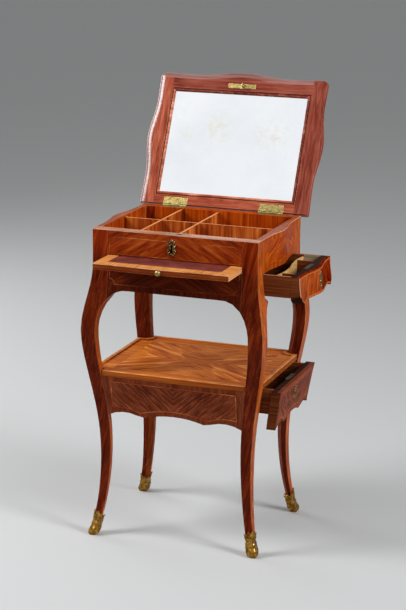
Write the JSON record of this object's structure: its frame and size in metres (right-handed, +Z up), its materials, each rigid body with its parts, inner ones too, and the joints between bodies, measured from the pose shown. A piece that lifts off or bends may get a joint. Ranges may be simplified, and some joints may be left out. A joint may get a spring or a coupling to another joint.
{
  "type": "writing and dressing table",
  "caption": "Small cabriole-legged writing and dressing table: mirrored lift-up lid over compartments, leather-lined pull-out slide, side drawers and a low shelf, shown open.",
  "frame": {"origin": "on the floor under the middle of the bounds of the opened table", "axes": "+Z up, -Y towards the front with the writing slide, +X towards the side where the drawers open"},
  "size_m": [0.4903, 0.5535, 0.9796],
  "materials": {
    "tulipwood_veneer": "polished",
    "carcase_oak": "dull",
    "pale_wood": "satin",
    "brass": "worn",
    "gilt_bronze": "gilt",
    "bolt_iron": "dull",
    "red_leather": "worn",
    "mirror": "aged silvering"
  },
  "bodies": {
    "frame": {"leg_front_left": "tulipwood_veneer", "shoe_front_left": "gilt_bronze", "leg_front_right": "tulipwood_veneer", "shoe_front_right": "gilt_bronze", "leg_rear_left": "tulipwood_veneer", "shoe_rear_left": "gilt_bronze", "leg_rear_right": "tulipwood_veneer", "shoe_rear_right": "gilt_bronze", "front_apron": "tulipwood_veneer", "rear_panel": "tulipwood_veneer", "left_panel": "tulipwood_veneer", "front_panel": "tulipwood_veneer", "right_panel": "tulipwood_veneer", "compartment_floor": "tulipwood_veneer", "long_partition": "tulipwood_veneer", "left_partition": "tulipwood_veneer", "middle_partition": "tulipwood_veneer", "dust_board": "carcase_oak", "upper_runner_front": "carcase_oak", "upper_runner_rear": "carcase_oak", "shelf_board": "tulipwood_veneer", "lower_front_apron": "tulipwood_veneer", "lower_rear_apron": "tulipwood_veneer", "lower_left_apron": "tulipwood_veneer", "lower_runner_front": "carcase_oak", "lower_runner_rear": "carcase_oak", "hinge_left_case_leaf": "brass", "hinge_right_case_leaf": "brass", "lid_lock": "brass", "front_escutcheon": "gilt_bronze"},
    "lid": {"hinge_left_lid_leaf": "brass", "hinge_right_lid_leaf": "brass", "lid_panel": "tulipwood_veneer", "mirror_glass": "mirror", "mirror_bead": "tulipwood_veneer", "lid_keep": "brass"},
    "lid_bolt": {"lid_lock_bolt": "bolt_iron"},
    "writing_slide": {"slide_board": "tulipwood_veneer", "slide_leather": "red_leather", "slide_knob": "brass"},
    "upper_drawer": {"upper_drawer_front": "tulipwood_veneer", "upper_drawer_lock": "brass", "upper_drawer_near_side": "carcase_oak", "upper_drawer_far_side": "carcase_oak", "upper_drawer_back": "carcase_oak", "upper_drawer_bottom": "carcase_oak", "upper_drawer_pen_wall": "pale_wood", "upper_drawer_near_divider": "pale_wood", "upper_drawer_far_divider": "pale_wood", "upper_drawer_escutcheon": "gilt_bronze"},
    "upper_bolt": {"upper_drawer_bolt": "bolt_iron"},
    "lower_drawer": {"lower_drawer_front": "tulipwood_veneer", "lower_drawer_lock": "brass", "lower_drawer_near_side": "carcase_oak", "lower_drawer_far_side": "carcase_oak", "lower_drawer_back": "carcase_oak", "lower_drawer_bottom": "carcase_oak", "lower_drawer_escutcheon": "gilt_bronze"},
    "lower_bolt": {"lower_drawer_bolt": "bolt_iron"}
  },
  "joints": [
    {"name": "lid_hinge", "type": "hinge", "parent": "frame", "child": "lid", "pos_m": [-0.03651, 0.12262, 0.69015], "axis": [-1, 0, 0], "range_deg": [-115.9, 0]},
    {"name": "lid_bolt_throw", "type": "slide", "parent": "frame", "child": "lid_bolt", "axis": [1, 0, 0], "range_m": [0, 0.007]},
    {"name": "writing_slide_draw", "type": "slide", "parent": "frame", "child": "writing_slide", "axis": [0, -1, 0], "range_m": [-0.083, 0.06]},
    {"name": "upper_drawer_draw", "type": "slide", "parent": "frame", "child": "upper_drawer", "axis": [1, 0, 0], "range_m": [-0.08, 0.1]},
    {"name": "upper_bolt_throw", "type": "slide", "parent": "upper_drawer", "child": "upper_bolt", "axis": [0, 0, 1], "range_m": [0, 0.006]},
    {"name": "lower_drawer_draw", "type": "slide", "parent": "frame", "child": "lower_drawer", "axis": [1, 0, 0], "range_m": [-0.04, 0.12]},
    {"name": "lower_bolt_throw", "type": "slide", "parent": "lower_drawer", "child": "lower_bolt", "axis": [0, 0, 1], "range_m": [0, 0.006]}
  ]
}
